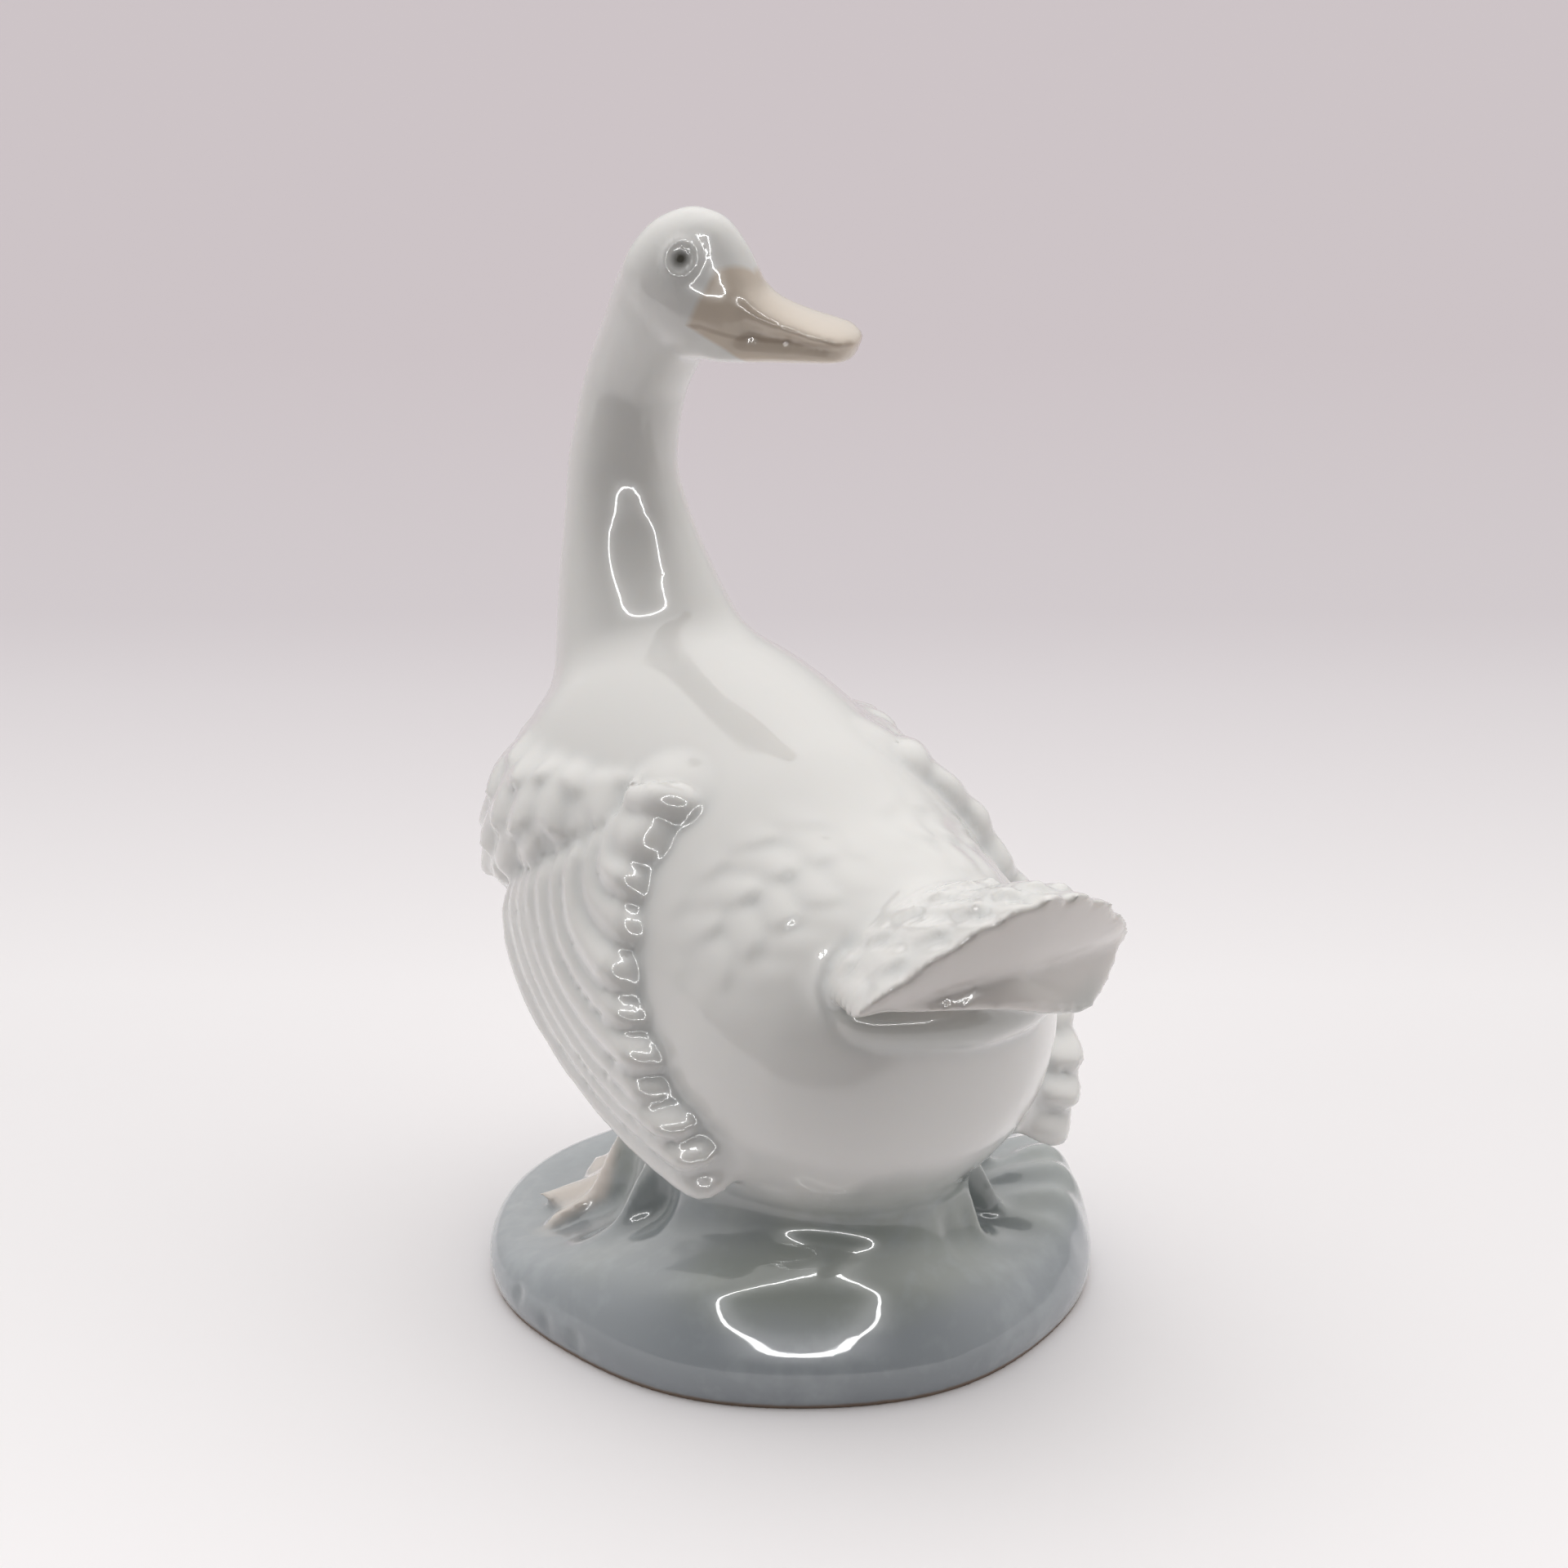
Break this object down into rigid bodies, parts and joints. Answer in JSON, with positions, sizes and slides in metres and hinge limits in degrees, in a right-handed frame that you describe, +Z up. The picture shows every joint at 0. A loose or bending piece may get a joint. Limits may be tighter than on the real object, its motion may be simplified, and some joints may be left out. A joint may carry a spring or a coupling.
{
  "type": "duck figurine",
  "caption": "Glazed porcelain duck standing on a low round mound and looking back over its side, with feathered hanging wings and a cocked fan tail, cast as one piece.",
  "frame": {"origin": "middle of the mound's flat underside", "axes": "+Z is up, the duck's breast faces -Y, its tail +Y and its left wing is on the +X side"},
  "size_m": [0.0698, 0.0965, 0.1198],
  "materials": {
    "glazed_porcelain": "clear high-gloss glaze over white porcelain, with blue-grey, beige and pale peach underglaze tints"
  },
  "bodies": {
    "root": {"duck_figurine": "glazed_porcelain"}
  },
  "joints": []
}
